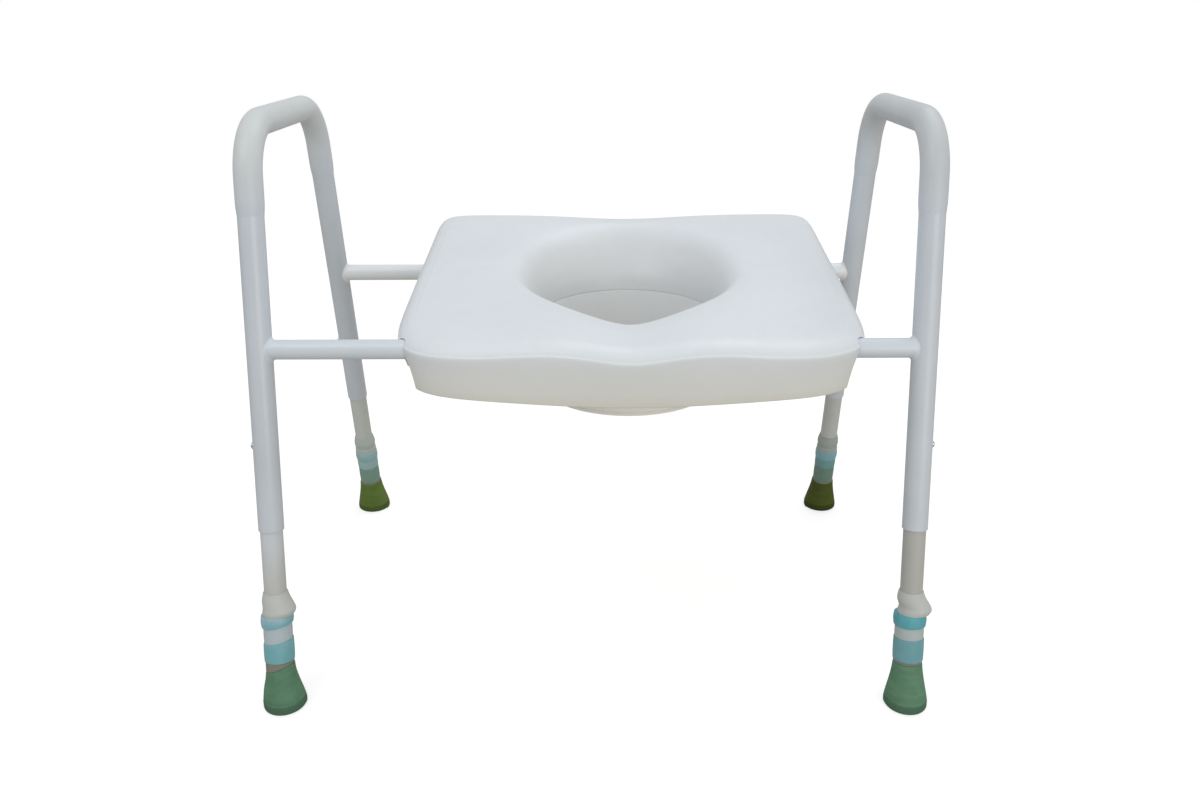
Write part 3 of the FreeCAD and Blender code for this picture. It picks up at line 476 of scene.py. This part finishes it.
def seat_row(half, front, rear, front_power, rear_power, share, drop, bow, skirt):
    turn = 2 * math.pi * np.arange(AROUND) / AROUND
    across, along = np.cos(turn), np.sin(turn)
    reach = np.where(along > 0, rear, front)
    power = np.where(along > 0, rear_power, front_power)
    radius = (np.abs(across / half) ** power + np.abs(along / reach) ** power) ** (-1 / power)
    x, y = radius * across, SEAT_CENTRE + radius * along
    top = CHUTE_LOW + (seat_top(x, y) - drop - CHUTE_LOW) * share
    bowed = y + bow * 12 * (x / half) ** 2 * np.maximum(-(y - SEAT_CENTRE) / front, 0)
    low = seat_plane(bowed) - SKIRT_DEPTH - 8 * bell(x, 150) * front_share(bowed)
    return np.stack([x, bowed, top * (1 - skirt) + low * skirt], 1)


def normals_of(rows):
    """Outward normals of a grid of points whose rows are closed loops."""
    along = np.gradient(rows, axis=0)
    around = np.roll(rows, -1, axis=1) - np.roll(rows, 1, axis=1)
    normal = np.cross(along, around)
    return normal / np.linalg.norm(normal, axis=2, keepdims=True)


def seat_skin():
    table = [row + (0, 0) for row in CHUTE]
    for inset, drop in EDGE:
        table.append((SEAT_HALF_WIDTH - inset, SEAT_FRONT - inset, SEAT_REAR - inset, *OUTLINE_POWERS, 1, drop, 1, 0))
    skirt = (SEAT_HALF_WIDTH - SKIRT_INSET, SEAT_FRONT - SKIRT_INSET, SEAT_REAR - SKIRT_INSET)
    table.append((*skirt, *OUTLINE_POWERS, 1, 0, 1, 1))
    top = np.array([seat_row(*row) for row in through(table, ROW_STEPS)])
    normal = normals_of(top)
    half = SEAT_SKIN / 2
    middle = top - normal * half
    ends = []
    for edge, inner in ((-1, -2), (0, 1)):
        out = middle[edge] - middle[inner]
        out /= np.linalg.norm(out, axis=1, keepdims=True)
        centre = middle[edge] - out * half
        ends.append([centre + half * (normal[edge] * math.cos(a) + out * math.sin(a)) for a in
                     np.linspace(0, math.pi, 7)])
    rim, foot = ends
    rows = np.concatenate([top[1:-1], rim, (top - normal * SEAT_SKIN)[1:-1][::-1], foot[::-1]])
    points = (rows.reshape(-1, 3) * MM) + np.array(SEAT_ORIGIN)
    return mesh_object("seat_moulding", points, ring_faces(len(rows), AROUND, True))


def boolean_cut(made, tools):
    """Takes the tools' solids away from a mesh for good."""
    for tool in tools:
        cut = made.modifiers.new("cut", "BOOLEAN")
        cut.operation, cut.solver, cut.object = "DIFFERENCE", "MANIFOLD", tool
    bpy.context.view_layer.update()
    result = bpy.data.meshes.new_from_object(made.evaluated_get(bpy.context.evaluated_depsgraph_get()))
    made.modifiers.clear()
    made.data = result
    for tool in tools:
        bpy.data.objects.remove(tool)
    return made


def prism(name, outline, start, length):
    """An outline in (y, z) drawn out along X, in the seat's own millimetres."""
    count = len(outline)
    points = [Vector((x, y, z)) * MM + SEAT_ORIGIN for x in (start, start + length) for y, z in outline]
    faces = [tuple(range(count)), tuple(range(count, 2 * count))]
    faces += [(i, (i + 1) % count, count + (i + 1) % count, count + i) for i in range(count)]
    return mesh_object(name, points, faces, 40)


NOTCH_RADIUS = 12.2
NOTCH_INNER = 225
NOTCH_LENGTH = 67
NOTCH_DEPTH, NOTCH_FLARE = 80, 70


def notch_tools():
    """Room in the skirt's sides for the rails, the front ones open below."""
    tools = []
    middle = RAIL_HALF_DEPTH / MM
    arc = [math.pi * step / 24 for step in range(25)]
    for side in (-1, 1):
        start = NOTCH_INNER if side > 0 else -NOTCH_INNER - NOTCH_LENGTH
        front = [(-middle + NOTCH_RADIUS * math.cos(a), NOTCH_RADIUS * math.sin(a)) for a in arc]
        front += [(-middle - NOTCH_RADIUS, -NOTCH_DEPTH), (-middle + NOTCH_RADIUS + NOTCH_FLARE, -NOTCH_DEPTH)]
        rear = [(middle + NOTCH_RADIUS * math.cos(2 * a), NOTCH_RADIUS * math.sin(2 * a)) for a in arc[:-1]]
        tools += [prism("notch", outline, start, NOTCH_LENGTH) for outline in (front, rear)]
    return tools


seat_mesh = boolean_cut(seat_skin(), notch_tools())
seat_mesh.data.set_sharp_from_angle(angle=math.radians(40))
seat = dress(seat_mesh, "seat", "seat_plastic", M["seat"], "seat_shell")


# Bosses under the seat that the fittings screw into: middle and length front to back, underside and width.
BOSSES = [(-149.707, 23, 8, 44), (177.207, 54, 44, 37.6)]
FITTING_CENTRES = (-150, 150)


def boss(name, centre, middle, length, low, width):
    """A hollow-looking column whose head is buried in the seat's skin."""
    corners = [(-width / 2, -length / 2), (width / 2, -length / 2), (width / 2, length / 2), (-width / 2, length / 2)]
    outline = rounded([(x, y, 0) for x, y in corners], 2.5, 4)
    points, count = [], len(outline)
    for inset, drop in ((0.6, 0), (0, 0.6), (0, None)):
        for x, y, _ in outline:
            x, y = centre + x * (1 - 2 * inset / width), middle + y * (1 - 2 * inset / length)
            z = seat_top(x, y) - SEAT_SKIN / 2 if drop is None else low + drop
            points.append(Vector((x, y, z)) * MM + SEAT_ORIGIN)
    faces = ring_faces(3, count, False) + [tuple(range(count)), tuple(range(2 * count, 3 * count))]
    return dress(mesh_object(name, points, faces, 40), "seat", "seat_plastic", M["seat"])


for centre in FITTING_CENTRES:
    for index, place in enumerate(BOSSES):
        boss(f"seat_boss_{'left' if centre < 0 else 'right'}_{index}", centre, *place)


# ------------------------------------------------------------------ splash guard
GUARD_JOINT = -15.05
GUARD_BORE = (112, 125)
GUARD_LOW = (-106, -118)             # at the front and at the rear
GUARD_SCALE = 80                    # makes the share of the drop a length, for the rounding


def splash_guard():
    """Oval funnel with a gripping collar, its section rounded at every edge and rolled at the foot."""
    collar, wall, taper = 10.5, 3, 8
    section = [
        (collar, 0, 16), (collar + wall, 0, 16), (collar + wall, 0, -wall), (wall, 0, -wall - 4),
        (wall - taper, GUARD_SCALE, 5), (wall - taper + 1.6, GUARD_SCALE, 3), (wall - taper + 1.6, GUARD_SCALE, 0),
        (-taper, GUARD_SCALE, 0), (0, 0, 0), (collar, 0, 0),
    ]
    section = rounded(section, [1.2, 1.2, 2.5, 4, 2, 1, 1.2, 1.2, 0.6, 0.8], 4)
    points, around = [], 192
    for offset, share, rise in section:
        for step in range(around):
            turn = 2 * math.pi * step / around
            half, reach = GUARD_BORE[0] + offset, GUARD_BORE[1] + offset
            radius = (abs(math.cos(turn) / half) ** 2 + abs(math.sin(turn) / reach) ** 2) ** -0.5
            x, y = radius * math.cos(turn), radius * math.sin(turn)
            low = GUARD_LOW[0] + (GUARD_LOW[1] - GUARD_LOW[0]) * (y / (2 * reach) + 0.5)
            z = GUARD_JOINT + share / GUARD_SCALE * (low - GUARD_JOINT) + rise
            points.append(Vector((x, y + SEAT_CENTRE, z)) * MM + SEAT_ORIGIN)
    return mesh_object("splash_funnel", points, ring_faces(len(section), around, True), 40)


dress(splash_guard(), "seat", "guard_plastic", M["guard"], "splash_guard")


# ------------------------------------------------------------------ arm grips
BEND_RADIUS = 65 * MM
TUBE_RADIUS = 14.3 * MM
GRIP_RADIUS = 15.48 * MM
GRIP_DROP = 95 * MM
GRIP_TAPER = 16 * MM


def arm_path(side, drop):
    """Points along the arm's centre line, from a distance down the front leg over to the rear one."""
    setback = BEND_RADIUS * math.tan((math.pi / 2 - LEAN) / 2)
    lean = Vector((0, math.sin(LEAN), math.cos(LEAN)))
    corner = Vector((side * HALF_WIDTH, -ARM_HALF_DEPTH, ARM_HEIGHT))
    points = [corner - lean * (drop + (setback - drop) * step / 20) for step in range(20)]
    centre = corner + Vector((0, setback, -BEND_RADIUS))
    for step in range(29):
        turn = math.pi - LEAN + (math.pi / 2 - (math.pi - LEAN)) * step / 28
        points.append(centre + Vector((0, math.cos(turn), math.sin(turn))) * BEND_RADIUS)
    straight = ARM_HALF_DEPTH - setback
    middle = [Vector((side * HALF_WIDTH, -straight + 2 * straight * step / 16, ARM_HEIGHT)) for step in range(1, 16)]
    mirrored = [Vector((p.x, -p.y, p.z)) for p in reversed(points)]
    return points + middle + mirrored


def arm_grip(name, side):
    path = arm_path(side, GRIP_DROP)
    run = [0.0]
    for one, other in zip(path, path[1:]):
        run.append(run[-1] + (other - one).length)
    inner = TUBE_RADIUS + 0.03 * MM
    outer = [inner + (GRIP_RADIUS - inner) * float(smoothstep(min(r, run[-1] - r) / GRIP_TAPER) ** 0.5) for r in run]
    around = 48
    points = tube_rings(path, outer, around) + tube_rings(path[::-1], [inner] * len(path), around)
    rings = len(path)
    faces = ring_faces(rings, around, False)
    shift = rings * around
    faces += [tuple(shift + i for i in face) for face in ring_faces(rings, around, False)]
    made = mesh_object(name, points, faces, 60)
    return made


for name, side in (("left", -1), ("right", 1)):
    dress(arm_grip(f"grip_sleeve_{name}", side), "frame", "grip_vinyl", M["grip_" + name], f"arm_grip_{name}")


# ------------------------------------------------------------------ feet: collar, sleeves, rings and ferrule
LEG_TUBE = 12.7
RING_SEAM = 0.25                    # rounding of the sleeves' edges leaves a fine line between them
FERRULE_TOP = 48


def sleeve_outline(radius, low, high, belly=0.0, edge=0.9):
    """Section of a sleeve on the leg tube, a little barrelled, with rounded edges."""
    middle = (low + high) / 2
    corners = [(LEG_TUBE, low, 0), (radius, low, 0), (radius + belly, middle, 0), (radius, high, 0), (LEG_TUBE, high, 0)]
    return [(x, z) for x, z, _ in rounded(corners, [0.1, edge, 9, edge, 0.1], 5)]


def collar_outline(flare):
    """Section of the collar: thin neck, long straight shoulder, full flare and a tucked lower lip."""
    outer = [(18.0, 114), (flare - 0.3, 116), (flare, 118.6), (flare - 0.8, 122.5), (16.9, 129.5), (15.0, 136.5), (14.0, 140.6)]
    outer = through([(min(x, flare), z) for x, z in outer], 5)
    return [(LEG_TUBE, 114)] + [tuple(row) for row in outer] + [(13.6, 140.6), (LEG_TUBE, 140.6)]


def ferrule_outline():
    """Section of the ferrule: straight-sided flare, a groove over the foot ring and a rounded top lip."""
    outer = [(24.6, -10), (24.9, 2), (24.9, 7.4), (24.3, 8.4), (24.2, 9.4), (24.4, 10.4)]
    outer += [tuple(row) for row in through([(24.2, 11.4), (22.8, 18), (21.0, 26), (19.2, 35), (17.8, 43), (17.1, 49)], 4)]
    outer += [(16.9, 51.5), (16.5, 52.9), (15.5, 53.5), (LEG_TUBE, 53.5), (LEG_TUBE, 8), (0, 8), (0, -10)]
    return outer


def leg_place(leg):
    """The leg's frame in millimetres, and the sign that turns its X into the object's."""
    return leg_matrix(leg) @ Matrix.Scale(MM, 4), LEGS[leg][0]


def shear(sign, tilt, middle, span):
    """Tilts rings about one height, dying away above and below it; tilt is the rise for every mm to +X."""
    def warp(point):
        share = float(bell(point.z - middle, span))
        return Vector((point.x, point.y, point.z + tilt * sign * point.x * share))
    return warp


def push(sign, amount, middle, span):
    """Pushes a band of the piece towards +X."""
    def warp(point):
        return Vector((point.x + sign * amount * float(bell(point.z - middle, span)), point.y, point.z))
    return warp


def slanted_top(sign, drop, low, high):
    """Lowers a piece on a slant, lower towards -X: fully at one height and not at all at the other."""
    def warp(point):
        share = min(max((point.z - high) / (low - high), 0.0), 1.0)
        share *= share * (3 - 2 * share)
        return Vector((point.x, point.y, point.z - drop * share * (1 - sign * point.x / 17) / 2))
    return warp


def ferrule_lean(sign, amount, drop):
    """The ferrule's foot pushed towards +X, and its top on a slant."""
    slant = slanted_top(sign, drop, 50, 18)

    def warp(point):
        share = float(smoothstep((44 - point.z) / 44))
        return slant(Vector((point.x + sign * amount * share, point.y, point.z)))
    return warp


FLARES = {"front_left": 19.0, "front_right": 18.8, "rear_left": 16.0, "rear_right": 16.0}
PUSHES = {"front_left": 3.2, "front_right": 5.4, "rear_left": 0.0, "rear_right": 0.0}
SLEEVE_TILT = {"front_left": 0.2}
TOP_SLANT = {"front_left": 11.0}
FOOT_LEAN = {"front_left": 3.5, "front_right": -0.5}
BANDS = {"front_left": (81, 100.5)}                             # the spacer's foot and top
SLIM = {"rear_left": 1.8, "rear_right": 1.8}                    # how much thinner the sleeves are drawn


def ground_cut(made):
    """Cuts a piece flat on the floor and rounds the new edge."""
    shaped = bmesh.new()
    shaped.from_mesh(made.data)
    every = shaped.verts[:] + shaped.edges[:] + shaped.faces[:]
    cut = bmesh.ops.bisect_plane(shaped, geom=every, plane_co=(0, 0, 0), plane_no=(0, 0, -1), clear_outer=True)
    edges = [e for e in cut["geom_cut"] if isinstance(e, bmesh.types.BMEdge)]
    filled = bmesh.ops.contextual_create(shaped, geom=edges)
    rim = [e for e in edges if e.is_valid]
    bmesh.ops.bevel(shaped, geom=rim, offset=3.6 * MM, segments=6, profile=0.55, affect="EDGES")
    bmesh.ops.recalc_face_normals(shaped, faces=shaped.faces)
    shaped.to_mesh(made.data)
    shaped.free()
    made.data.polygons.foreach_set("use_smooth", [True] * len(made.data.polygons))
    made.data.set_sharp_from_angle(angle=math.radians(40))
    return made


for leg in LEGS:
    place, sign = leg_place(leg)
    body = "leg_" + leg
    slim = SLIM.get(leg, 0)
    low, high = BANDS.get(leg, (84, 99))
    tilt = shear(sign, SLEEVE_TILT.get(leg, 0), 88, 20)
    drop = TOP_SLANT.get(leg, 0)
    pushed = push(sign, PUSHES[leg], 120, 9)
    collar = lathe(f"{leg}_collar_moulding", collar_outline(FLARES[leg]), place, 96, pushed)
    dress(collar, body, "collar_plastic", M["collar_" + leg], f"{leg}_collar")
    upper = lathe(f"{leg}_sleeve_high", sleeve_outline(18.0 - slim, high, 114, 1.0), place, 96, tilt)
    dress(upper, body, "blue_sleeve", M["upper_" + leg], f"{leg}_upper_sleeve")
    spacer = lathe(f"{leg}_spacer", sleeve_outline(16.3 - slim / 3, low, high, 0.3, 0.5), place, 96, tilt)
    dress(spacer, body, "white_ring", M["spacer_" + leg], f"{leg}_spacer_ring")
    lower = lathe(f"{leg}_sleeve_low", sleeve_outline(17.2 - slim, 56.5, low, 0.4), place, 96, tilt)
    dress(lower, body, "blue_sleeve", M["lower_" + leg], f"{leg}_lower_sleeve")
    wedge = slanted_top(sign, drop, 53.5, 56.5)
    ring = lathe(f"{leg}_ring", sleeve_outline(16.4 - slim / 3, 53.5, 56.5, 0, 0.8), place, 96, wedge)
    dress(ring, body, "brown_ring", M["ring"], f"{leg}_retaining_ring")
    ferrule = ground_cut(lathe(f"{leg}_foot", ferrule_outline(), place, 96, ferrule_lean(sign, FOOT_LEAN.get(leg, 0), drop)))
    rubber_key = "rubber_front" if leg.startswith("front") else "rubber_" + leg
    dress(ferrule, body, "green_rubber", M[rubber_key], f"{leg}_ferrule")


# ------------------------------------------------------------------ seat fittings, with their edges broken
def softened(node, width):
    """A copy of a CAD node with its hard edges rounded, standing for it."""
    mesh = frame["nodes"][node].data.copy()
    shaped = bmesh.new()
    shaped.from_mesh(mesh)
    bmesh.ops.remove_doubles(shaped, verts=shaped.verts, dist=1e-6)
    bmesh.ops.dissolve_limit(
        shaped, angle_limit=math.radians(1), verts=shaped.verts, edges=shaped.edges
    )
    hard = [e for e in shaped.edges if e.is_manifold and e.calc_face_angle(0) > math.radians(35)]
    bmesh.ops.bevel(shaped, geom=hard, offset=width, segments=3, profile=0.6, affect="EDGES", clamp_overlap=True)
    shaped.to_mesh(mesh)
    shaped.free()
    mesh.polygons.foreach_set("use_smooth", [True] * len(mesh.polygons))
    mesh.set_sharp_from_angle(angle=math.radians(35))
    made = bpy.data.objects.new(node + "_moulding", mesh)
    bpy.context.scene.collection.objects.link(made)
    return made


for node in ("rear_hook_left", "rear_hook_right", "front_clip_left", "front_clip_right"):
    dress(softened(node, 0.7 * MM), "seat", "fitting_plastic", M["fitting"], node)


# ------------------------------------------------------------------ CAD nodes that stay, with their finishes
FINISHES = {
    "side_frame": "frame", "rail_liner": "nylon", "front_rail": "rail", "rear_rail": "rear_rail",
    "_lock_button": "button", "_leaf_spring": "spring", "_ferrule_washer": "zinc", "fitting_screws": "zinc",
}
FINISHES.update({f"{leg}_leg_tube": "leg_" + leg for leg in LEGS})
for name, node in frame["nodes"].items():
    found = [key for part, key in FINISHES.items() if part in name]
    node.data.materials.clear()
    node.data.materials.append(M[found[0] if found else "frame"])


# ------------------------------------------------------------------ room, lights and camera
def camera():
    """The photograph's place and angle."""
    data = bpy.data.cameras.new("camera")
    data.lens, data.sensor_width = 30, 36
    pitch, yaw, roll = 0.37033, -0.005886, 0.004842
    ahead = Vector((math.sin(yaw) * math.cos(pitch), math.cos(yaw) * math.cos(pitch), -math.sin(pitch)))
    level = Vector((math.cos(yaw), -math.sin(yaw), 0))
    down = ahead.cross(level)
    right = level * math.cos(roll) + down * math.sin(roll)
    below = down * math.cos(roll) - level * math.sin(roll)
    made = bpy.data.objects.new("camera", data)
    turn = Matrix((right, -below, -ahead)).transposed().to_4x4()
    made.matrix_world = Matrix.Translation((0.0153, -1.2345, 0.7663)) @ turn
    bpy.context.scene.collection.objects.link(made)
    bpy.context.scene.camera = made


def area_light(name, at, towards, size, power, colour):
    data = bpy.data.lights.new(name, "AREA")
    data.shape, data.size, data.energy, data.color = "DISK", size, power, colour
    made = bpy.data.objects.new(name, data)
    made.location = at
    made.rotation_mode = "QUATERNION"
    made.rotation_quaternion = (Vector(towards) - Vector(at)).to_track_quat("-Z", "Y")
    bpy.context.scene.collection.objects.link(made)


def floor():
    mesh = bpy.data.meshes.new("floor")
    around = 96
    points = [(9 * math.cos(2 * math.pi * i / around), 9 * math.sin(2 * math.pi * i / around), 0) for i in range(around)]
    mesh.from_pydata(points, [], [tuple(range(around))])
    made = bpy.data.objects.new("floor", mesh)
    bpy.context.scene.collection.objects.link(made)
    n = Nodes("floor")
    n.set(Base_Color=(0.50, 0.47, 0.42, 1), Roughness=0.9, Specular_IOR_Level=0.1)
    seen = n.add("ShaderNodeLightPath").outputs["Is Camera Ray"]
    n.set(Emission_Color=(0.66, 0.68, 0.71, 1), Emission_Strength=seen)
    mesh.materials.append(n.material)


def world():
    made = bpy.data.worlds.new("studio")
    bpy.context.scene.world = made
    made.use_nodes = True
    nodes, links = made.node_tree.nodes, made.node_tree.links
    back = nodes["Background"]
    back.inputs["Color"].default_value = (1, 1, 1, 1)
    seen = nodes.new("ShaderNodeLightPath").outputs["Is Camera Ray"]
    strength = nodes.new("ShaderNodeMapRange")
    strength.inputs["To Min"].default_value = 0.66
    strength.inputs["To Max"].default_value = 1.0
    links.new(seen, strength.inputs["Value"])
    links.new(strength.outputs["Result"], back.inputs["Strength"])


camera()
floor()
world()
area_light("key", (-1.2, -1.5, 2.7), (0, 0, 0.4), 1.8, 13, (0.97, 0.99, 1.0))
area_light("top", (0.7, 0.8, 2.6), (0, 0, 0.4), 1.6, 11, (0.93, 0.98, 1.0))
area_light("fill", (1.5, -2.6, 0.9), (0, 0, 0.4), 2.0, 19, (1.0, 0.965, 0.89))
bpy.context.scene.view_settings.view_transform = "Standard"
